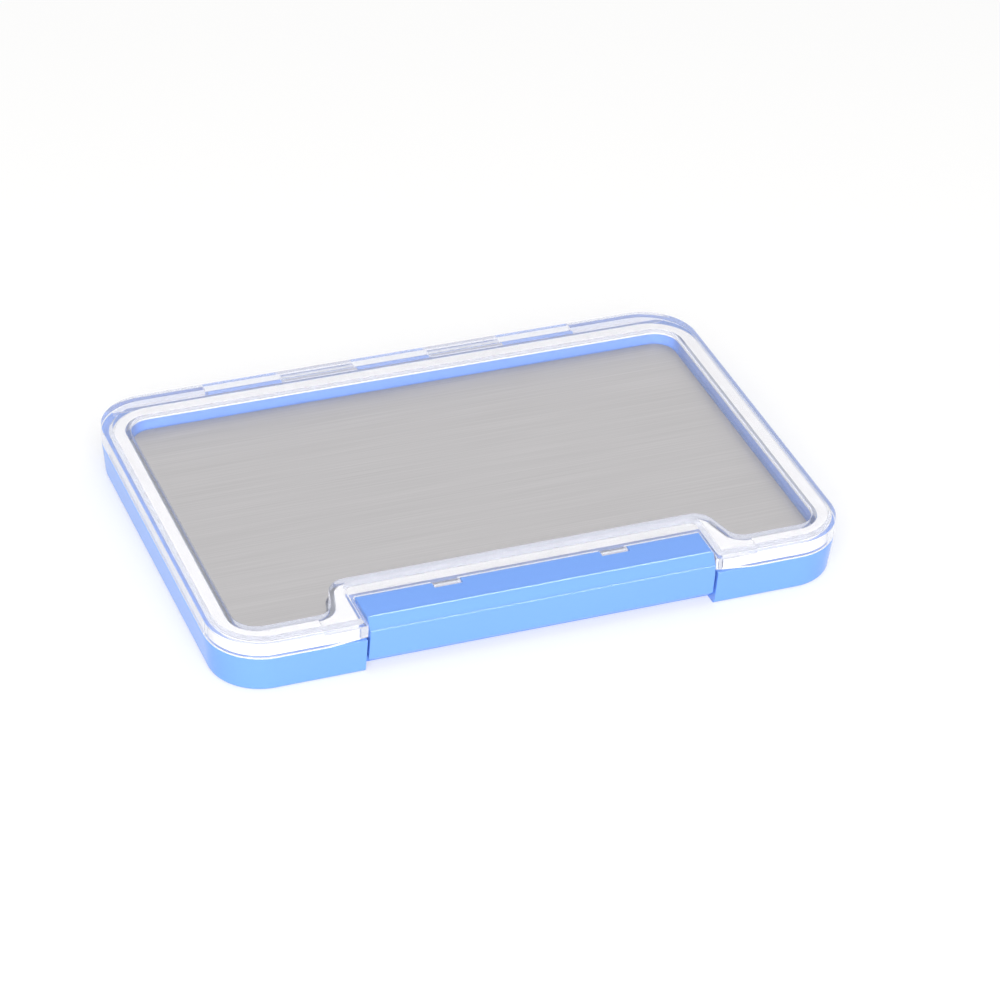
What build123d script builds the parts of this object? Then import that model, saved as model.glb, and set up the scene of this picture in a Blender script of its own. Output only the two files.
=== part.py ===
"""Slim jig box: a moulded tray, a clear lid with a steel plate in its well, a snap latch and two hinge pins.

The frame stands on the middle of the underside: X runs along the box, Y runs to the hinge, Z is up.
"""
import math
import os

from build123d import *

# Overall size, measured where tray and lid meet
box_length = 188.0
box_width = 130.6
corner_radius = 16.0
parting_height = 11.5
draft_inset = 1.2
bottom_edge_radius = 1.6
top_edge_radius = 0.5

# Lid heights above the parting line, and walls
skirt_height = 5.0
rim_rise = 1.2
rim_chamfer = 1.1
rim_setback = 1.2
skirt_wall = 1.7
channel_height = 3.7
panel_thickness = 1.7
panel_height = 0.7
well_wall = 1.5
well_edge_radius = 0.45
parting_gap = 0.1

# Well outline, and the notch that its front edge makes behind the latch
well_side_margin = 7.5
well_front_margin = 7.5
well_back_margin = 13.1
well_corner_radius = 7.0
notch_depth = 14.5
notch_side_margin = 4.6
notch_slope = 75.0
notch_head_radius = 6.0
notch_foot_radius = 5.0
notch_rim_flat = 2.1
rim_foot_radius = 1.6
rim_head_radius = 2.0
channel_edge_radius = 1.0
latch_pocket_foot_radius = 0.6
latch_pocket_head_radius = 0.8

# Seal: a lip on the tray stands in the channel of the lid, inside a gasket; both are lower round the notch
lip_gap = 1.1
lip_thickness = 1.3
high_rise = 1.0
high_inset = 0.6
high_start_gap = 3.0
high_side_gap = 12.5
high_lip_gap = 1.0
gasket_thickness = 0.6
gasket_side_gap = 0.15
gasket_leg_gap = 0.4
gasket_foot_gap = 0.5
gasket_riser = 0.5
seal_gap = 0.05

# Clear glue that holds the seal and the plate's film to the lid
glue_line = 0.04

# Steel plate in the well
plate_thickness = 0.8
plate_gap = 0.7
plate_tape_thickness = 0.15
plate_tape_inset = 1.5

# Tray floor and foam
floor_thickness = 1.8
foam_tape_thickness = 0.15
foam_tape_inset = 3.0
foam_thickness = 4.0
foam_gap = 0.6
slit_width = 0.6
slit_depth = 2.6
slit_pitch = 8.0
slit_margin = 7.0

# Pockets that core the thick tray walls from below
pocket_wall = 1.8
pocket_pitch = 16.0
pocket_rib = 1.5
pocket_back_margin = 6.0
pocket_front_margin = 4.0

# Lid hinge
hinge_axis_inset = 2.9
knuckle_radius = 2.4
knuckle_pitch = 23.4
knuckle_gap = 0.2
knuckle_web = 2.6
knuckle_wall_gap = 0.6
hinge_pin_radius = 1.0
hinge_pin_length = 53.0
hinge_pin_end = 57.4
hinge_bore_overrun = 2.0
fixed_pin_clearance = 0.01
running_pin_clearance = 0.05
hinge_wall = 1.5
hinge_headroom = 2.8
hinge_shelf_drop = 4.7
hinge_side_gap = 0.4

# Latch: rear barrel, flat top, shoulder, front plate and catch bead
latch_length = 102.8
latch_side_gap = 0.5
latch_rear_gap = 0.5
latch_barrel_radius = 1.6
latch_axis_rise = 4.2
latch_thickness = 1.8
latch_shoulder_run = 2.3
latch_shoulder_drop = 3.1
latch_step = 0.6
latch_step_radius = 0.35
latch_bottom = 3.4
latch_edge_radius = 0.7
latch_corner_radius = 1.5
latch_end_radius = 0.5
latch_lip_height = 1.0
latch_lip_bevel = 0.6
latch_rib_count = 6
latch_rib_thickness = 1.2
latch_pin_radius = 0.6
latch_pin_inset = 2.4
lug_spacing = 50.0
lug_length = 7.8
lug_gap = 0.3
pocket_depth = 14.3
pocket_wall_lid = 1.8
finger_relief_length = 11.0
finger_relief_height = 1.2

# Catch on the tray front
recess_side_gap = 0.8
catch_face_depth = 5.8
catch_height = 6.6
catch_thickness = 2.0
catch_depth = 1.9
catch_bevel = 1.2
catch_engagement = 0.55
catch_gap = 0.15
bead_thickness = 2.0
bead_slope = 0.3

half_length = box_length / 2
half_width = box_width / 2
well_half = half_length - well_side_margin
well_front = half_width - well_front_margin
well_back = half_width - well_back_margin
skirt_top = parting_height + skirt_height
rim_top = skirt_top + rim_rise
channel_ceiling = parting_height + channel_height
panel_top = parting_height + panel_height
hinge_y = half_width - hinge_axis_inset
hinge_z = parting_height
hinge_span = 2.5 * knuckle_pitch
hinge_wall_face = hinge_y - knuckle_radius - knuckle_wall_gap
shelf_height = hinge_z - hinge_shelf_drop
pocket_half = latch_length / 2 + latch_side_gap
notch_head_half = pocket_half + notch_side_margin
pocket_face = half_width - pocket_depth
latch_axis_height = parting_height + latch_axis_rise
latch_axis_y = -(pocket_face + latch_rear_gap + latch_barrel_radius)
latch_pin_end = latch_length / 2 - latch_pin_inset
lip_top = channel_ceiling - gasket_thickness - seal_gap
high_ceiling = channel_ceiling + high_rise
channel_side = half_length - skirt_wall
channel_front = half_width - skirt_wall
channel_back = hinge_wall_face - hinge_wall
cavity_growth = well_wall + lip_gap
lip_growth = cavity_growth + lip_thickness
catch_face = half_width - catch_face_depth
notch_front = well_front - notch_depth
high_start = high_start_gap - notch_front
high_side = pocket_half + high_side_gap
panel_bottom = panel_top - panel_thickness


def plan(half, front, back, corner, foot, head, notch, foot_radius, head_radius):
    """Rounded rectangle whose front edge steps in to `notch` between the feet and the heads."""
    points = [(-half, back), (-half, -front), (-foot, -front), (-head, -notch),
              (head, -notch), (foot, -front), (half, -front), (half, back)]
    radii = [corner, corner, foot_radius, head_radius, head_radius, foot_radius, corner, corner]
    return make_face(FilletPolyline(*points, radius=radii, close=True))


def well_plan(growth):
    """The well outline moved outwards by `growth`; the slanted notch sides stay parallel."""
    slope = math.radians(notch_slope)
    head_y = notch_front + growth
    shift = growth * math.tan(slope / 2)
    run = notch_depth / math.tan(slope)
    return plan(well_half + growth, well_front + growth, well_back + growth, well_corner_radius + growth,
                notch_head_half + run - shift, notch_head_half - shift, head_y,
                notch_foot_radius + growth, notch_head_radius - growth)


def channel_plan(inset):
    """Outer edge of the seal channel, moved inwards by `inset`."""
    side = pocket_half + skirt_wall + inset
    notch = pocket_face - pocket_wall_lid - inset
    return plan(channel_side - inset, channel_front - inset, channel_back - inset,
                corner_radius - skirt_wall - inset, side, side, notch, channel_edge_radius,
                channel_edge_radius + inset)


def block(x_low, x_high, y_low, y_high, z_low, z_high):
    """Box between six planes."""
    size = (x_high - x_low, y_high - y_low, z_high - z_low)
    centre = ((x_high + x_low) / 2, (y_high + y_low) / 2, (z_high + z_low) / 2)
    return Pos(*centre) * Box(*size)


def high_zone(inset):
    """All but the notch and its sides: the part where the seal is high, made smaller by `inset`."""
    side = high_side + inset
    start = high_start + inset
    around = block(-box_length, box_length, -box_width, box_width, -1, rim_top + 1)
    return around - block(-side, side, -box_width - 1, start, -2, rim_top + 2)


def rod(radius, x_low, x_high, y, z):
    """Cylinder along X."""
    return Pos((x_low + x_high) / 2, y, z) * Rot(0, 90, 0) * Cylinder(radius, x_high - x_low)


def level(face, z_low, z_high):
    """Upright wall of a plan between two heights."""
    return extrude(Pos(0, 0, z_low) * face, z_high - z_low)


def knuckle_ends(index):
    """Ends of one of the five hinge knuckles, counted from -2 to 2."""
    middle = index * knuckle_pitch
    half = knuckle_pitch / 2 - knuckle_gap
    return middle - half, middle + half


def lug_ends(side, gap):
    """Ends of a latch lug, widened by `gap` at both."""
    middle = side * lug_spacing / 2
    half = lug_length / 2 + gap
    return middle - half, middle + half


def make_tray():
    """Blue tray: floor, walls, sealing lip, hinge shelf with three knuckles, and the catch for the latch."""
    draft = math.degrees(math.atan(draft_inset / parting_height))
    top = RectangleRounded(box_length, box_width, corner_radius)
    shell = extrude(Pos(0, 0, parting_height) * top, amount=-parting_height, taper=draft)
    shell = fillet(shell.edges().group_by(Axis.Z)[0], bottom_edge_radius)
    shell = fillet(shell.edges().group_by(Axis.Z)[-1], top_edge_radius)
    recess_half = latch_length / 2 + recess_side_gap
    shell -= block(-recess_half, recess_half, -half_width - 1, -catch_face, -1, parting_height + 1)
    corner_rise = corner_radius - hinge_axis_inset
    shelf_half = half_length - corner_radius + math.sqrt(corner_radius ** 2 - corner_rise ** 2)
    shell -= block(-shelf_half - hinge_side_gap, shelf_half + hinge_side_gap, hinge_wall_face, half_width + 1,
                   shelf_height, parting_height + 1)
    shell += level(well_plan(lip_growth), floor_thickness, lip_top)
    high_lip = level(well_plan(lip_growth), lip_top - 1, lip_top + high_rise)
    shell += high_lip & high_zone(high_lip_gap)
    shell -= level(well_plan(cavity_growth), floor_thickness, lip_top + high_rise + 1)
    shell -= make_pockets()
    catch = block(-recess_half, recess_half, -catch_face - catch_depth, -catch_face, catch_height,
                  catch_height + catch_thickness)
    shell += chamfer(catch.edges().filter_by(Axis.X).group_by(Axis.Z)[-1].sort_by(Axis.Y)[0], catch_bevel)
    for index in (-2, 0, 2):
        low, high = knuckle_ends(index)
        shell += rod(knuckle_radius, low, high, hinge_y, hinge_z)
        shell += block(low, high, hinge_wall_face, hinge_y, hinge_z - knuckle_web, hinge_z)
    for side in (-1, 1):
        outer = side * (hinge_pin_end + hinge_bore_overrun)
        inner = side * (hinge_pin_end - hinge_pin_length)
        bore = hinge_pin_radius + fixed_pin_clearance
        shell -= rod(bore, min(inner, outer), max(inner, outer), hinge_y, hinge_z)
    return shell


def make_pockets():
    """Ribbed pockets, open below, under the hinge shelf and under the block behind the latch."""
    pockets = []
    cavity_back = well_back + cavity_growth
    cavity_front = notch_front + cavity_growth
    rows = [(half_length - corner_radius - pocket_back_margin, cavity_back + pocket_wall,
             half_width - draft_inset - pocket_wall, shelf_height - pocket_wall),
            (pocket_half - pocket_front_margin, -catch_face + pocket_wall,
             -cavity_front - pocket_wall, parting_height - pocket_wall)]
    for half, y_low, y_high, height in rows:
        count = int(2 * half // pocket_pitch)
        width = 2 * half / count - pocket_rib
        for k in range(count):
            x = -half + (k + 0.5) * 2 * half / count
            pockets.append(block(x - width / 2, x + width / 2, y_low, y_high, -1, height))
    return pockets


def make_lid():
    """Clear lid: skirt, raised rim over the seal channel, sunk panel, hinge knuckles and latch lugs."""
    bottom = parting_height + parting_gap
    pocket = (pocket_half, pocket_half, pocket_face)
    skirt = plan(half_length, half_width, half_width, corner_radius, *pocket,
                 latch_pocket_foot_radius, latch_pocket_head_radius)
    lid = level(skirt, bottom, skirt_top)
    rim_notch = notch_front + notch_rim_flat + rim_chamfer
    rim_side = pocket_half + rim_setback / 2
    rim = plan(half_length - rim_setback, half_width - rim_setback, hinge_wall_face + rim_setback / 2,
               corner_radius - rim_setback, rim_side, rim_side, rim_notch, rim_foot_radius, rim_head_radius)
    rim = level(rim, skirt_top, rim_top)
    lid += chamfer(rim.edges().group_by(Axis.Z)[-1], rim_chamfer)
    lid += level(well_plan(well_wall), panel_bottom, skirt_top)
    well = level(well_plan(well_wall), bottom - 2, skirt_top)
    lid -= level(channel_plan(0), bottom - 1, channel_ceiling) - well
    lid -= (level(channel_plan(high_inset), channel_ceiling - 1, high_ceiling) - well) & high_zone(0)
    lid -= level(well_plan(0), panel_top, rim_top + 1)
    inner_edge = [e for e in lid.edges().group_by(Axis.Z)[-1] if on_well_edge(e)]
    lid = fillet(inner_edge, well_edge_radius)
    ledge_bottom = hinge_z + hinge_headroom
    inner_corner = corner_radius - skirt_wall
    inner = RectangleRounded(box_length - 2 * skirt_wall, box_width - 2 * skirt_wall, inner_corner)
    relief = level(inner, bottom - 1, ledge_bottom)
    lid -= relief & block(-half_length, half_length, hinge_wall_face, half_width, bottom - 1, ledge_bottom)
    lid -= block(-hinge_span, hinge_span, hinge_wall_face, half_width + 1, bottom - 1, ledge_bottom)
    for side in (-1, 1):
        low, high = knuckle_ends(side)
        lid += rod(knuckle_radius, low, high, hinge_y, hinge_z)
        lid += block(low, high, hinge_y - knuckle_radius, hinge_y + knuckle_radius, hinge_z, ledge_bottom)
        lid -= rod(hinge_pin_radius + running_pin_clearance, low - 1, high + 1, hinge_y, hinge_z)
        low, high = lug_ends(side, 0)
        lid += rod(latch_barrel_radius, low, high, latch_axis_y, latch_axis_height)
        lug_bottom = latch_axis_height - latch_barrel_radius
        lid += block(low, high, latch_axis_y, -pocket_face, lug_bottom, skirt_top)
        lug_bore = latch_pin_radius + fixed_pin_clearance
        lid -= rod(lug_bore, low - 1, high + 1, latch_axis_y, latch_axis_height)
    return lid - make_finger_relief(bottom)


def make_finger_relief(bottom):
    """Sloped cut in the foot of the front skirt, deepest beside the latch."""
    far = pocket_half + finger_relief_length
    high = bottom + finger_relief_height
    corners = [(-far, bottom - 1), (-far, bottom), (-pocket_half, high), (pocket_half, high), (far, bottom),
               (far, bottom - 1)]
    inside = Plane.XZ.offset(half_width - skirt_wall)
    return extrude(inside * make_face(Polyline(*corners, close=True)), amount=2 * skirt_wall)


def on_well_edge(edge):
    """True for an edge of the lid's top that runs round the well."""
    middle = edge @ 0.5
    well = well_plan(0.01) - well_plan(-0.01)
    return well.distance_to(Vertex(middle.X, middle.Y, 0)) < 0.005


def make_gasket():
    """Rubber seal, glued to the channel's ceiling: a flat strip with a leg down the outside of the lip."""
    low = channel_plan(gasket_side_gap)
    high = channel_plan(high_inset + gasket_side_gap)
    low_top = channel_ceiling - glue_line
    high_top = high_ceiling - glue_line
    strip_bottom = channel_ceiling - gasket_thickness
    hole = level(well_plan(well_wall + gasket_side_gap), parting_height, rim_top)
    lip_room = level(well_plan(lip_growth + gasket_leg_gap), parting_height, rim_top)
    zone = high_zone(gasket_side_gap)
    strip = (level(low, strip_bottom, low_top) - hole) - zone
    riser = (level(high, strip_bottom, high_top) - hole) & zone
    riser -= high_zone(gasket_side_gap + gasket_riser)
    high_strip = (level(high, high_ceiling - gasket_thickness, high_top) - hole) & zone
    leg = level(low, parting_height + gasket_foot_gap, low_top) - lip_room
    high_leg = (level(high, strip_bottom, high_top) - lip_room) & zone
    return strip + riser + high_strip + leg + high_leg


def make_latch():
    """Blue latch: barrel on its pin, top, shoulder, front plate and the bead that snaps under the catch."""
    top = latch_axis_height + latch_barrel_radius
    front = -half_width
    shoulder_foot = front + latch_step
    crease = shoulder_foot + latch_shoulder_run
    foot_z = top - latch_shoulder_drop
    plate_top = foot_z
    lip_z = latch_bottom + latch_lip_height
    inner = front + latch_thickness
    slope = math.atan2(latch_shoulder_drop, latch_shoulder_run)
    inner_crease = crease + latch_thickness * math.tan(slope / 2)
    inner_foot_z = top - latch_thickness - (inner_crease - inner) * math.tan(slope)
    bead = -(catch_face + catch_depth - catch_engagement)
    bead_top = catch_height - catch_gap
    bead_bottom = bead_top - bead_thickness
    diagonal = latch_barrel_radius * math.sin(math.pi / 4)
    sag = latch_thickness - latch_barrel_radius
    barrel_front = latch_axis_y - math.sqrt(latch_barrel_radius ** 2 - sag ** 2)

    def drafted(y, z):
        """Point of the front plate, which leans in downwards as the tray wall does."""
        return y + (plate_top - z) * draft_inset / parting_height, z

    outline = [
        (latch_axis_y, top), (crease, top), (shoulder_foot, foot_z), (front, plate_top),
        drafted(front, lip_z), drafted(front + latch_lip_bevel, latch_bottom),
        drafted(inner - bead_slope, latch_bottom), (bead, bead_bottom),
        (bead, bead_top), drafted(inner, bead_top), (inner, inner_foot_z),
        (inner_crease, top - latch_thickness), (barrel_front, top - latch_thickness)]
    barrel_low = (latch_axis_y + diagonal, latch_axis_height - diagonal)
    barrel = ThreePointArc(outline[-1], barrel_low, outline[0])
    section = Plane.YZ * make_face(Polyline(*outline).edges() + barrel.edges())
    half = latch_length / 2
    latch = extrude(section, amount=half, both=True)
    for y, z, radius in ((crease, top, latch_edge_radius), (front, plate_top, latch_step_radius)):
        corner = Vector(0, y, z)
        edges = latch.edges().filter_by(Axis.X)
        latch = fillet(edges.sort_by(lambda e: (corner - e.center()).length)[0], radius)
    face = Pos(0, (top + latch_bottom) / 2) * Rectangle(latch_length, top - latch_bottom)
    face = fillet(face.vertices().group_by(Axis.Y)[0], latch_corner_radius)
    face = fillet(face.vertices().group_by(Axis.Y)[-1], latch_end_radius)
    latch &= extrude(Plane.XZ * face, amount=box_width, both=True)
    above = Rectangle(latch_length, box_width)
    above = fillet(above.vertices().group_by(Axis.Y)[0], latch_end_radius)
    latch &= level(above, 0, rim_top)
    rib_low = inner_foot_z - latch_thickness
    rib = make_face(Polyline((inner, rib_low), (inner, inner_foot_z), (inner_crease, top - latch_thickness),
                             (inner_crease + latch_thickness, top - latch_thickness), close=True))
    for k in range(latch_rib_count):
        x = latch_length * ((k + 0.5) / latch_rib_count - 0.5)
        latch += extrude(Pos(x, 0, 0) * (Plane.YZ * rib), amount=latch_rib_thickness / 2, both=True)
    for side in (-1, 1):
        low, high = lug_ends(side, lug_gap)
        reach = latch_barrel_radius + lug_gap
        y_low = latch_axis_y - reach
        latch -= block(low, high, y_low, y_low + 2 * reach + 1, top - 2 * reach - 1, top + 1)
    bore = latch_pin_radius + running_pin_clearance
    return latch - rod(bore, -half - 1, half + 1, latch_axis_y, latch_axis_height)


def make_foam():
    """Slit foam: a pad that fills the tray, with rows of cuts that hold the hooks."""
    bottom = floor_thickness + foam_tape_thickness
    top = bottom + foam_thickness
    foam = level(well_plan(cavity_growth - foam_gap), bottom, top)
    cuts = []
    half = well_half - slit_margin
    low = -notch_front + slit_margin
    high = well_back - slit_margin
    count = int((high - low) // slit_pitch) + 1
    for k in range(count):
        y = (low + high) / 2 + (k - (count - 1) / 2) * slit_pitch
        cuts.append(block(-half, half, y - slit_width / 2, y + slit_width / 2, top - slit_depth, top + 1))
    return foam - cuts


def make_parts():
    """All pieces by name."""
    tape_top = panel_top + plate_tape_thickness
    foam_tape = level(well_plan(cavity_growth - foam_gap - foam_tape_inset), floor_thickness,
                      floor_thickness + foam_tape_thickness)
    left_pin = rod(hinge_pin_radius, -hinge_pin_end, hinge_pin_length - hinge_pin_end, hinge_y, hinge_z)
    right_pin = rod(hinge_pin_radius, hinge_pin_end - hinge_pin_length, hinge_pin_end, hinge_y, hinge_z)
    return {
        "base_tray": make_tray(),
        "foam_insert": make_foam(),
        "foam_tape": foam_tape,
        "lid_shell": make_lid(),
        "lid_gasket": make_gasket(),
        "lid_plate": level(well_plan(-plate_gap), tape_top, tape_top + plate_thickness),
        "plate_tape": level(well_plan(-plate_gap - plate_tape_inset), panel_top + glue_line, tape_top),
        "hinge_pin_left": left_pin,
        "hinge_pin_right": right_pin,
        "latch_lever": make_latch(),
        "latch_pin": rod(latch_pin_radius, -latch_pin_end, latch_pin_end, latch_axis_y, latch_axis_height),
    }


os.makedirs("parts", exist_ok=True)
for name, shape in make_parts().items():
    export_step(shape, f"parts/{name}.step")
    print(name, round(shape.volume, 1), len(shape.solids()))
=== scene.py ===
"""Slim jig box, closed on a white table: blue tray and latch, clear sealed lid, brushed steel plate."""

import bpy
import numpy as np
from mathutils import Matrix, Vector


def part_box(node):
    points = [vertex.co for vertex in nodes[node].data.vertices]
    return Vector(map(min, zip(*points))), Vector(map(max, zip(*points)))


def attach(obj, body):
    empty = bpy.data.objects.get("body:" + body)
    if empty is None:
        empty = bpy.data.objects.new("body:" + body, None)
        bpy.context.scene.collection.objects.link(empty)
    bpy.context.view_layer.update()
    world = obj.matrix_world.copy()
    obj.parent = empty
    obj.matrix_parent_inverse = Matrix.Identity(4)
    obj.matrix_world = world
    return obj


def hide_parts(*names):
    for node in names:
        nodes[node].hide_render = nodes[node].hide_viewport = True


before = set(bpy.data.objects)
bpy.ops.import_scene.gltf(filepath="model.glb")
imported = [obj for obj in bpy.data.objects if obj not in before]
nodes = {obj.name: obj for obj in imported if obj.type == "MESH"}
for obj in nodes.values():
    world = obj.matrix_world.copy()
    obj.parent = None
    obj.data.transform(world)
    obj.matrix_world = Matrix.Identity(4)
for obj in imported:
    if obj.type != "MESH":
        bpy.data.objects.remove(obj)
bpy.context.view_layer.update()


# Camera. A long lens looks down on the box from its front left corner, slightly rolled, as in the
# photograph; its place was fitted to the outlines of the tray, the lid and the plate.
camera_azimuth = np.radians(-22.34)
camera_elevation = np.radians(33.993)
camera_roll = np.radians(2.619)
camera_distance = 1.130
camera_slide = (-0.010983, -0.004174)
camera_lens = 139.5
camera_sensor = 36.0
camera_near = 0.05


def camera_axes(azimuth, elevation, roll):
    """Right, up and back axes. Back points from the box to the camera: its Z is the sine of the elevation,
    and the azimuth shares the cosine between X and -Y. Right is level and up is square to both, and the roll
    turns these two about back."""
    reach = np.cos(elevation)
    back = np.array([np.sin(azimuth) * reach, -np.cos(azimuth) * reach, np.sin(elevation)])
    level_right = np.array([np.cos(azimuth), np.sin(azimuth), 0.0])
    level_up = np.cross(back, level_right)
    right = np.cos(roll) * level_right + np.sin(roll) * level_up
    up = -np.sin(roll) * level_right + np.cos(roll) * level_up
    return right, up, back


right, up, back = camera_axes(camera_azimuth, camera_elevation, camera_roll)
camera_data = bpy.data.cameras.new("camera")
camera_data.lens = camera_lens
camera_data.sensor_width = camera_sensor
camera_data.clip_start = camera_near
camera = bpy.data.objects.new("camera", camera_data)
bpy.context.scene.collection.objects.link(camera)
camera.matrix_world = Matrix(np.stack([right, up, back], 1).tolist()).to_4x4()
camera.location = camera_distance * back - camera_slide[0] * right - camera_slide[1] * up
bpy.context.scene.camera = camera
bpy.context.scene.view_settings.view_transform = "Standard"


# Table and light tent. A sweep of matt white paper under soft light: camera, mirror and refracted rays see
# much of it as plain white, and it keeps the box's faint shadow. A lamp in front lights the faces, and a
# broad one overhead draws the highlights along the rounded edges of the blue plastic.
table_half = 2.5
paper_white = "FFFFFF"
tent_fill = 0.71
backdrop_share = 0.44
key_size = (1.2, 0.8)
key_power = 21.5
key_colour = "FFFDFA"
key_place = (-0.45, -1.27, 0.78)
strip_size = (1.6, 0.8)
strip_power = 75.0
strip_place = (0.36, 0.0, 1.09)


def linear(colour):
    """Linear RGBA from an sRGB hex colour, by the sRGB curve."""
    values = np.array([int(colour[k:k + 2], 16) for k in (0, 2, 4)]) / 255.0
    values = np.where(values <= 0.04045, values / 12.92, ((values + 0.055) / 1.055) ** 2.4)
    return (*values.tolist(), 1.0)


def add_node(tree, kind, inputs=None, links=None, **settings):
    """Adds one node with its settings, its input values by name, and its links as {input: output socket}."""
    made = tree.nodes.new(kind)
    for name, value in settings.items():
        setattr(made, name, value)
    for name, value in (inputs or {}).items():
        made.inputs[name].default_value = value
    for name, socket in (links or {}).items():
        tree.links.new(socket, made.inputs[name])
    return made


def seen_directly(tree):
    """1 for camera, glossy and transmission rays, otherwise 0: the greatest of the three."""
    path = add_node(tree, "ShaderNodeLightPath")
    either = add_node(tree, "ShaderNodeMath", operation="MAXIMUM",
                      links={0: path.outputs["Is Camera Ray"], 1: path.outputs["Is Glossy Ray"]})
    return add_node(tree, "ShaderNodeMath", operation="MAXIMUM",
                    links={0: either.outputs[0], 1: path.outputs["Is Transmission Ray"]}).outputs[0]


def new_material(name):
    """Empty node material, its tree and its output."""
    material = bpy.data.materials.new(name)
    material.use_nodes = True
    material.node_tree.nodes.clear()
    output = add_node(material.node_tree, "ShaderNodeOutputMaterial")
    return material, material.node_tree, output


def finish_with(obj, material):
    """Gives the whole object one material."""
    obj.data.materials.clear()
    obj.data.materials.append(material)


def area_lamp(name, size, power, colour, place):
    """Rectangular lamp that shines straight down and that the camera doesn't see."""
    data = bpy.data.lights.new(name, "AREA")
    data.shape = "RECTANGLE"
    data.size, data.size_y = size
    data.energy = power
    data.color = linear(colour)[:3]
    lamp = bpy.data.objects.new(name, data)
    bpy.context.scene.collection.objects.link(lamp)
    lamp.location = place
    lamp.visible_camera = False
    return lamp


table_mesh = bpy.data.meshes.new("table")
table_mesh.from_pydata([(-table_half, -table_half, 0), (table_half, -table_half, 0),
                        (table_half, table_half, 0), (-table_half, table_half, 0)], [], [(0, 1, 2, 3)])
table = bpy.data.objects.new("table", table_mesh)
bpy.context.scene.collection.objects.link(table)
paper, tree, output = new_material("white_paper_sweep")
matt = add_node(tree, "ShaderNodeBsdfDiffuse", {"Color": linear(paper_white)})
bright = add_node(tree, "ShaderNodeEmission", {"Color": linear(paper_white), "Strength": 1.0})
share = add_node(tree, "ShaderNodeMath", {1: backdrop_share}, {0: seen_directly(tree)},
                 operation="MULTIPLY")
mixed = add_node(tree, "ShaderNodeMixShader",
                 links={0: share.outputs[0], 1: matt.outputs[0], 2: bright.outputs[0]})
tree.links.new(mixed.outputs[0], output.inputs["Surface"])
finish_with(table, paper)

world = bpy.data.worlds.new("light_tent")
bpy.context.scene.world = world
world.use_nodes = True
tree = world.node_tree
tree.nodes.clear()
fill = add_node(tree, "ShaderNodeBackground", {"Color": linear(paper_white), "Strength": tent_fill})
white = add_node(tree, "ShaderNodeBackground", {"Color": linear(paper_white), "Strength": 1.0})
mixed = add_node(tree, "ShaderNodeMixShader",
                 links={0: seen_directly(tree), 1: fill.outputs[0], 2: white.outputs[0]})
add_node(tree, "ShaderNodeOutputWorld", links={"Surface": mixed.outputs[0]})

key = area_lamp("key", key_size, key_power, key_colour, key_place)
key.rotation_euler = (-Vector(key_place)).to_track_quat("-Z", "Y").to_euler()
key.visible_glossy = False

strip = area_lamp("strip", strip_size, strip_power, paper_white, strip_place)
strip.visible_diffuse = False
strip.visible_transmission = False
lit_by_strip = bpy.data.collections.new("lit_by_strip")
for name in ("base_tray", "latch_lever"):
    lit_by_strip.objects.link(nodes[name])
strip.light_linking.receiver_collection = lit_by_strip


# Tray. Injection-moulded ABS in light blue: glossy, with a faint change of tone where the melt flowed and a
# very fine moulding grain that softens its highlights.
tray_blue = "72A1EF"
abs_ior = 1.54
abs_mirror = 0.28
abs_roughness = (0.14, 0.18)
melt_shade = (0.97, 1.0)
melt_flow_mm = 35.71
grain_mm = 0.35
grain_bump = 0.02
grain_depth = 0.00003


def shaded(tree, colour, pattern, shade, span=(0.0, 1.0)):
    """Colour times a brightness that goes from the first to the second `shade` while the pattern crosses
    `span`. The mixing node's colour sockets share their names, so they are given by their places."""
    amount = add_node(tree, "ShaderNodeMapRange",
                      {"From Min": span[0], "From Max": span[1], "To Min": shade[0], "To Max": shade[1]},
                      {"Value": pattern})
    return add_node(tree, "ShaderNodeMix", {0: 1.0, 6: linear(colour)}, {7: amount.outputs[0]},
                    data_type="RGBA", blend_type="MULTIPLY").outputs[2]


blue_abs, tree, output = new_material("moulded_blue_abs")
place = add_node(tree, "ShaderNodeTexCoord").outputs["Object"]
flow = add_node(tree, "ShaderNodeTexNoise", {"Scale": 1000.0 / melt_flow_mm, "Detail": 2.0},
                {"Vector": place})
grain = add_node(tree, "ShaderNodeTexNoise", {"Scale": 1000.0 / grain_mm, "Detail": 1.0},
                 {"Vector": place})
bump = add_node(tree, "ShaderNodeBump", {"Strength": grain_bump, "Distance": grain_depth},
                {"Height": grain.outputs["Fac"]})
gloss = add_node(tree, "ShaderNodeMapRange", {"To Min": abs_roughness[0], "To Max": abs_roughness[1]},
                 {"Value": grain.outputs["Fac"]})
plastic = add_node(tree, "ShaderNodeBsdfPrincipled", {"IOR": abs_ior, "Specular IOR Level": abs_mirror},
                   {"Base Color": shaded(tree, tray_blue, flow.outputs["Fac"], melt_shade),
                    "Roughness": gloss.outputs[0], "Normal": bump.outputs[0]})
tree.links.new(plastic.outputs[0], output.inputs["Surface"])
finish_with(nodes["base_tray"], blue_abs)


# Latch. The tray's blue ABS, moulded in one piece with its barrel, flat top and front plate. It swings on a
# steel pin between the lid's two clear lugs.
finish_with(nodes["latch_lever"], blue_abs)


# Lid. Clear injection-moulded polycarbonate, polished, with a slight ripple and a trace of haze. Where a ray
# has been turned inwards again and again, the lid gives off a painted glow in place of the clear plastic,
# more
# of it at each further inner reflection: painted light that brightens the rims. Shadow rays pass straight
# through, so that the lamps reach what lies under the lid.
lid_tint = "F6F7FC"
lid_ior = 1.585
lid_roughness = 0.03
lid_haze = 0.06
ripple_mm = 5.556
ripple_bump = 0.25
ripple_depth = 0.00006
inner_reflections = (0.5, 3.5)
# Colour and strength of the painted glow, painted light that lights the rims from inside the plastic.
painted_glow_tint = "EEF1FD"
painted_glow_strength = 0.90

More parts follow.
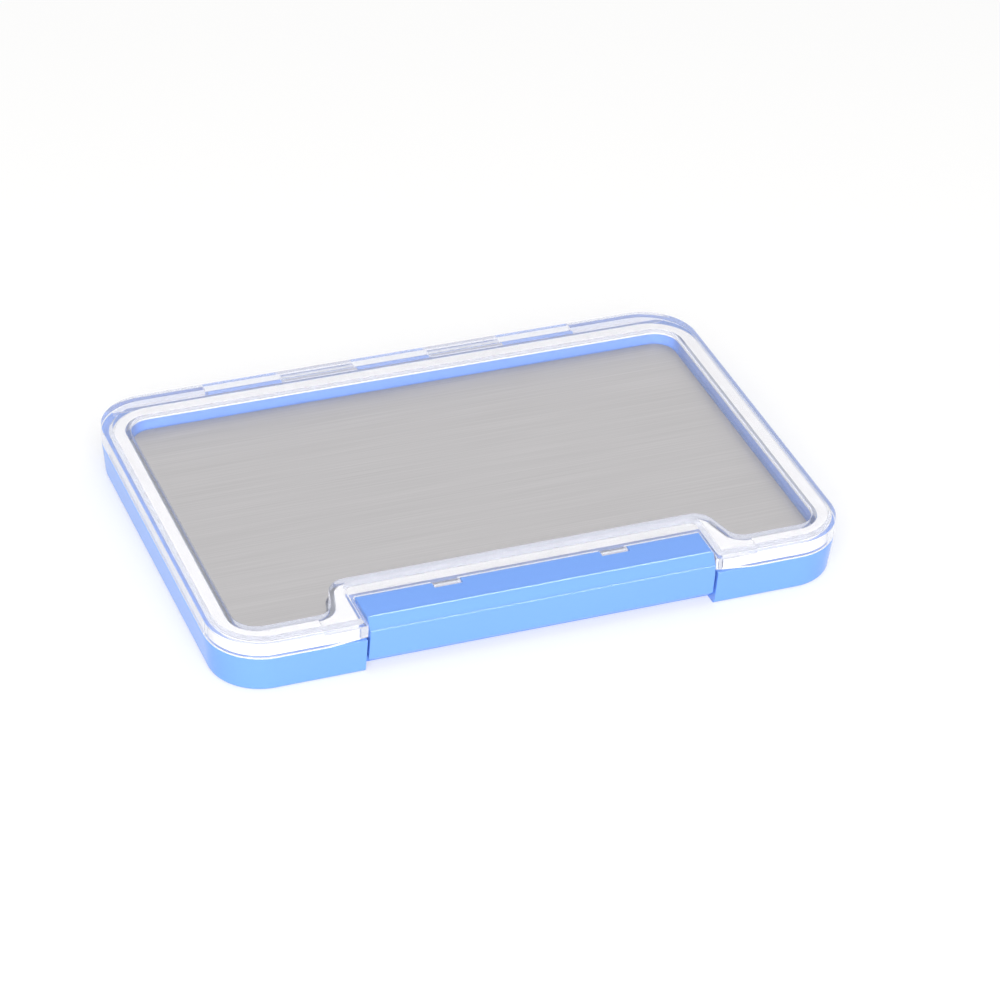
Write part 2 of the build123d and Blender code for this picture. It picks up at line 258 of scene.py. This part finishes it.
material, tree, output = new_material("clear_moulded_polycarbonate")
place = add_node(tree, "ShaderNodeTexCoord").outputs["Object"]
ripple = add_node(tree, "ShaderNodeTexNoise", {"Scale": 1000.0 / ripple_mm, "Detail": 1.0},
                  {"Vector": place})
bump = add_node(tree, "ShaderNodeBump", {"Strength": ripple_bump, "Distance": ripple_depth},
                {"Height": ripple.outputs["Fac"]})
clear = add_node(tree, "ShaderNodeBsdfPrincipled",
                 {"Base Color": linear(lid_tint), "Roughness": lid_roughness, "IOR": lid_ior,
                  "Transmission Weight": 1.0 - lid_haze}, {"Normal": bump.outputs[0]})
# Painted glow: an emission on the clear lid that stands in for the tent's light deep inside the rims.
painted_glow = add_node(tree, "ShaderNodeEmission", {"Color": linear(painted_glow_tint), "Strength": painted_glow_strength})
through = add_node(tree, "ShaderNodeBsdfTransparent", {"Color": linear(lid_tint)})
path = add_node(tree, "ShaderNodeLightPath")
painted_glow_share = add_node(tree, "ShaderNodeMapRange",
                  {"From Min": inner_reflections[0], "From Max": inner_reflections[1]},
                  {"Value": path.outputs["Glossy Depth"]})
clear_with_painted_glow = add_node(tree, "ShaderNodeMixShader",
               links={0: painted_glow_share.outputs[0], 1: clear.outputs[0], 2: painted_glow.outputs[0]})
mixed = add_node(tree, "ShaderNodeMixShader",
                 links={0: path.outputs["Is Shadow Ray"], 1: clear_with_painted_glow.outputs[0], 2: through.outputs[0]})
tree.links.new(mixed.outputs[0], output.inputs["Surface"])
finish_with(nodes["lid_shell"], material)


# Gasket. White silicone rubber, moulded as a flat strip with a leg and glued into the lid's channel: satin,
# slightly warm, with a faint mottle in its gloss.
silicone_white = "EFEDE6"
silicone_ior = 1.41
silicone_roughness = (0.42, 0.55)
mottle_mm = 1.111

material, tree, output = new_material("white_silicone_rubber")
place = add_node(tree, "ShaderNodeTexCoord").outputs["Object"]
mottle = add_node(tree, "ShaderNodeTexNoise", {"Scale": 1000.0 / mottle_mm, "Detail": 2.0},
                  {"Vector": place})
satin = add_node(tree, "ShaderNodeMapRange",
                 {"To Min": silicone_roughness[0], "To Max": silicone_roughness[1]},
                 {"Value": mottle.outputs["Fac"]})
rubber = add_node(tree, "ShaderNodeBsdfPrincipled",
                  {"Base Color": linear(silicone_white), "IOR": silicone_ior},
                  {"Roughness": satin.outputs[0]})
tree.links.new(rubber.outputs[0], output.inputs["Surface"])
finish_with(nodes["lid_gasket"], material)


# Plate. Stainless steel sheet, blanked to the well's outline and brushed along its length: long fine
# scratches, drawn coarser than real ones so that they show, and faint wider bands where the belt pressed
# harder. Reflections are drawn out across the scratches.
steel_tone = "C6C4C5"
steel_shade = (0.92, 1.06)
streak_span = (0.35, 0.95)
steel_roughness = (0.34, 0.44)
steel_stretch = 0.45
scratch_mm = (45.0, 0.5)
scratch_bump = 0.04
scratch_depth = 0.00002
band_mm = (160.0, 5.0)
band_share = 0.3


def brushed(tree, place, size_mm, detail):
    """Noise drawn out along X: `size_mm` is the length and width of one stroke."""
    scale = (1000.0 / size_mm[0], 1000.0 / size_mm[1], 1.0)
    drawn = add_node(tree, "ShaderNodeMapping", {"Scale": scale}, {"Vector": place})
    return add_node(tree, "ShaderNodeTexNoise", {"Scale": 1.0, "Detail": detail},
                    {"Vector": drawn.outputs[0]}).outputs["Fac"]


material, tree, output = new_material("brushed_stainless_steel")
place = add_node(tree, "ShaderNodeTexCoord").outputs["Object"]
scratches = brushed(tree, place, scratch_mm, 1.0)
bands = brushed(tree, place, band_mm, 1.0)
streaks = add_node(tree, "ShaderNodeMath", {1: band_share}, {0: bands, 2: scratches},
                   operation="MULTIPLY_ADD")
tone = shaded(tree, steel_tone, streaks.outputs[0], steel_shade, streak_span)
bump = add_node(tree, "ShaderNodeBump", {"Strength": scratch_bump, "Distance": scratch_depth},
                {"Height": scratches})
rough = add_node(tree, "ShaderNodeMapRange", {"To Min": steel_roughness[0], "To Max": steel_roughness[1]},
                 {"Value": scratches})
across = add_node(tree, "ShaderNodeTangent", direction_type="RADIAL", axis="X")
steel = add_node(tree, "ShaderNodeBsdfPrincipled", {"Metallic": 1.0, "Anisotropic": steel_stretch},
                 {"Base Color": tone, "Roughness": rough.outputs[0], "Normal": bump.outputs[0],
                  "Tangent": across.outputs[0]})
tree.links.new(steel.outputs[0], output.inputs["Surface"])
finish_with(nodes["lid_plate"], material)


# Adhesive tapes. Double-sided acrylic film under the foam and under the steel plate: matt, slightly cloudy,
# and grey from the steel behind it where it shows through the open lid.
film_tone = "A2A3A6"
film_shade = (0.9, 1.0)
film_ior = 1.47
film_roughness = 0.55
cloud_mm = 8.333

material, tree, output = new_material("double_sided_adhesive_film")
place = add_node(tree, "ShaderNodeTexCoord").outputs["Object"]
cloud = add_node(tree, "ShaderNodeTexNoise", {"Scale": 1000.0 / cloud_mm, "Detail": 3.0},
                 {"Vector": place})
film = add_node(tree, "ShaderNodeBsdfPrincipled", {"Roughness": film_roughness, "IOR": film_ior},
                {"Base Color": shaded(tree, film_tone, cloud.outputs["Fac"], film_shade)})
tree.links.new(film.outputs[0], output.inputs["Surface"])
for name in ("foam_tape", "plate_tape"):
    finish_with(nodes[name], material)


# Pins. Drawn stainless wire, cut to length and pushed in through the hinge's knuckles and the latch's
# barrel: bright, with fine drawing lines along X.
wire_tone = "E2E1E6"
wire_roughness = (0.18, 0.34)
drawing_mm = (30.0, 0.12)
drawing_bump = 0.2
drawing_depth = 0.00001

material, tree, output = new_material("drawn_stainless_wire")
place = add_node(tree, "ShaderNodeTexCoord").outputs["Object"]
drawing = brushed(tree, place, drawing_mm, 2.0)
rough = add_node(tree, "ShaderNodeMapRange", {"To Min": wire_roughness[0], "To Max": wire_roughness[1]},
                 {"Value": drawing})
bump = add_node(tree, "ShaderNodeBump", {"Strength": drawing_bump, "Distance": drawing_depth},
                {"Height": drawing})
wire = add_node(tree, "ShaderNodeBsdfPrincipled", {"Base Color": linear(wire_tone), "Metallic": 1.0},
                {"Roughness": rough.outputs[0], "Normal": bump.outputs[0]})
tree.links.new(wire.outputs[0], output.inputs["Surface"])
for name in ("hinge_pin_left", "hinge_pin_right", "latch_pin"):
    finish_with(nodes[name], material)


# Foam. White closed-cell EVA, cut to the tray and stuck down on its tape: parallel knife slits hold the
# hooks, and their upper edges gape a little. Its sides and heights are those of the node that it replaces,
# and its notch follows the well in the lid above it. The pad's outline and slits are in millimetres.
foam_low, foam_high = (1000.0 * np.array(corner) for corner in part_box("foam_insert"))
foam_half = foam_high[0]
foam_front, foam_rear = foam_low[1], foam_high[1]
foam_bottom, foam_top = foam_low[2], foam_high[2]
foam_edge = 0.5
foam_corner = 9.0
well_head = 56.5
past_well = 2.0
notch_depth = 14.5
notch_slope = np.radians(75.0)
notch_head = well_head - past_well * np.tan(notch_slope / 2)
notch_foot = notch_head + notch_depth / np.tan(notch_slope)
notch_head_corner = 4.0
notch_foot_corner = 7.0
notch_front = foam_front + notch_depth
slit_margin = 9.0
slit_end = foam_half - slit_margin
slit_pitch = 8.0
slit_half = 0.3
slit_gape = 0.25
slit_depth = 2.6
slit_floor_share = 0.8
slit_end_run = 0.01
# How the mesh is cut: columns over the whole length, close ones at the notch (first x, last x, count), and
# rows over the rounded edge and on the flats ahead of and behind the slits. The end columns stand a hair
# inside the outline, and there the rounded edges shrink, so that front and rear keep apart.
column_count = 220
column_inset = 0.004
notch_columns = (50.0, 64.0, 60)
edge_rows = 5
edge_spare = 0.02
front_rows = 8
rear_rows = 6
foam_white = "F1F0EC"
foam_shade = (0.92, 1.0)
foam_ior = 1.45
foam_roughness = 0.85
foam_sheen = 0.15
swell_mm = 16.67
cell_mm = 0.625
cell_bump = 0.5
cell_depth = 0.0001


def rounded_outline(corners, radii, per_corner=14, per_edge=24):
    """Closed polygon with an arc in each corner: the arc turns evenly from one edge's direction to the next
    about the point at one radius from both edges, and straight runs are cut evenly."""
    corners = np.asarray(corners, float)
    radii = np.asarray(radii, float)[:, None]
    to_last = np.roll(corners, 1, 0) - corners
    to_next = np.roll(corners, -1, 0) - corners
    to_last /= np.linalg.norm(to_last, axis=1, keepdims=True)
    to_next /= np.linalg.norm(to_next, axis=1, keepdims=True)
    half = np.arccos(np.clip((to_last * to_next).sum(1, keepdims=True), -1, 1)) / 2
    middle = to_last + to_next
    middle *= radii / np.sin(half) / np.linalg.norm(middle, axis=1, keepdims=True)
    start = to_last * radii / np.tan(half) - middle
    end = to_next * radii / np.tan(half) - middle
    turn = np.pi - 2 * half[:, :, None]
    share = np.linspace(0, 1, per_corner)[None, :, None]
    arcs = (np.sin((1 - share) * turn) * start[:, None] + np.sin(share * turn) * end[:, None]) / np.sin(turn)
    arcs += (corners + middle)[:, None]
    share = np.linspace(0, 1, per_edge + 2)[None, 1:-1, None]
    runs = (1 - share) * arcs[:, -1:] + share * np.roll(arcs, -1, 0)[:, :1]
    return np.concatenate([arcs, runs], 1).reshape(-1, 2)


def outline_span(outline, x):
    """Least and greatest y of a closed outline at each x, by cutting every edge that crosses it."""
    a, b = outline, np.roll(outline, -1, 0)
    low, high = np.minimum(a[:, 0], b[:, 0]), np.maximum(a[:, 0], b[:, 0])
    upright = high - low < 1e-9
    run = np.where(upright, 1.0, b[:, 0] - a[:, 0])
    share = (x[:, None] - a[None, :, 0]) / run[None]
    y = a[None, :, 1] + share * (b[:, 1] - a[:, 1])[None]
    crossed = (x[:, None] >= low[None]) & (x[:, None] <= high[None]) & ~upright[None]
    return np.where(crossed, y, np.inf).min(1), np.where(crossed, y, -np.inf).max(1)


def slit_rows():
    """Y and depth of the rows across the slits: down one side of each V-shaped cut and up the other, with
    one row between cuts. The cuts are spaced evenly about the middle of the room that the margins leave."""
    low, high = notch_front + slit_margin, foam_rear - slit_margin
    count = int((high - low) // slit_pitch) + 1
    middles = (low + high) / 2 + (np.arange(count) - (count - 1) / 2) * slit_pitch
    side = np.array([slit_half * slit_floor_share, slit_half, slit_half + slit_gape])
    across = np.concatenate([-side[::-1], side, [slit_pitch / 2]])
    depth = np.array([0.0, slit_gape, slit_depth, slit_depth, slit_gape, 0.0, 0.0])
    return (middles[:, None] + across).reshape(-1)[:-1], np.tile(depth, count)[:-1]


def foam_surface():
    """Closed pad. Each column stands at one x: its rows run up the front wall, over the rounded edge, back
    across the slits, down the rear wall and forward below. The columns crowd towards the ends, as the
    cosine of an even turn does, and at the notch. Rows past the outline are held at its rounded edge."""
    corners = [(-foam_half, foam_rear), (-foam_half, foam_front),
               (-notch_foot, foam_front), (-notch_head, notch_front),
               (notch_head, notch_front), (notch_foot, foam_front),
               (foam_half, foam_front), (foam_half, foam_rear)]
    radii = [foam_corner, foam_corner, notch_foot_corner, notch_head_corner,
             notch_head_corner, notch_foot_corner, foam_corner, foam_corner]
    outline = rounded_outline(corners, radii)
    crowded = -np.cos(np.linspace(0, np.pi, column_count)) * (foam_half - column_inset)
    slit_ends = np.array([slit_end, slit_end + slit_end_run])
    at_notch = np.linspace(*notch_columns)
    x = np.sort(np.concatenate([crowded, slit_ends, -slit_ends, at_notch, -at_notch]))
    front, rear = outline_span(outline, x)
    rows, depth = slit_rows()
    arc = np.linspace(0, np.pi / 2, edge_rows)
    edge_in, edge_up = foam_edge * (1 - np.cos(arc)), foam_edge * np.sin(arc)
    room = np.clip((rear - front) / 2 / foam_edge - edge_spare, 0, 1)[:, None]
    y_front = front[:, None] + room * edge_in
    y_rear = rear[:, None] - room * edge_in[::-1]
    z_edge = foam_top - foam_edge + room * edge_up
    ahead, behind = np.linspace(0, 1, front_rows)[1:-1], np.linspace(1, 0, rear_rows)[1:-1]
    y_ahead = y_front[:, -1:] + (rows[0] - y_front[:, -1:]) * ahead
    y_behind = y_rear[:, :1] + (rows[-1] - y_rear[:, :1]) * behind
    y_top = np.concatenate([y_ahead, np.broadcast_to(rows, (len(x), len(rows))), y_behind], 1)
    y_top = np.clip(y_top, y_front[:, -1:], y_rear[:, :1])
    depth = np.concatenate([0 * ahead, depth, 0 * behind])
    z_top = np.where((np.abs(x) <= slit_end)[:, None], foam_top - depth, foam_top)
    y_below = front[:, None] + (rear - front)[:, None] * np.linspace(1, 0, rear_rows)
    y = np.concatenate([front[:, None], y_front, y_top, y_rear, y_below], 1)
    z = np.concatenate([np.full((len(x), 1), foam_bottom), z_edge, z_top, z_edge[:, ::-1],
                        np.full_like(y_below, foam_bottom)], 1)
    return np.stack([np.broadcast_to(x[:, None], y.shape), y, z], -1)


def lofted(name, points):
    """Closed mesh through columns of points: quads join neighbouring columns and rows, the last row of a
    column joins its first, and one face closes each end."""
    count, length = points.shape[:2]
    index = np.arange(count * length).reshape(count, length)
    side = np.stack([index[:-1], index[1:], np.roll(index[1:], -1, 1), np.roll(index[:-1], -1, 1)], -1)
    faces = side.reshape(-1, 4).tolist() + [index[0].tolist(), index[-1][::-1].tolist()]
    mesh = bpy.data.meshes.new(name)
    mesh.from_pydata((points.reshape(-1, 3) / 1000.0).tolist(), [], faces)
    obj = bpy.data.objects.new(name, mesh)
    bpy.context.scene.collection.objects.link(obj)
    return obj


foam = lofted("slit_foam_pad", foam_surface())
material, tree, output = new_material("white_closed_cell_foam")
place = add_node(tree, "ShaderNodeTexCoord").outputs["Object"]
cells = add_node(tree, "ShaderNodeTexVoronoi", {"Scale": 1000.0 / cell_mm}, {"Vector": place})
swell = add_node(tree, "ShaderNodeTexNoise", {"Scale": 1000.0 / swell_mm, "Detail": 3.0},
                 {"Vector": place})
bump = add_node(tree, "ShaderNodeBump", {"Strength": cell_bump, "Distance": cell_depth},
                {"Height": cells.outputs["Distance"]})
pad = add_node(tree, "ShaderNodeBsdfPrincipled",
               {"Roughness": foam_roughness, "IOR": foam_ior, "Sheen Weight": foam_sheen},
               {"Base Color": shaded(tree, foam_white, swell.outputs["Fac"], foam_shade),
                "Normal": bump.outputs[0]})
tree.links.new(pad.outputs[0], output.inputs["Surface"])
finish_with(foam, material)
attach(foam, "base")
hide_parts("foam_insert")
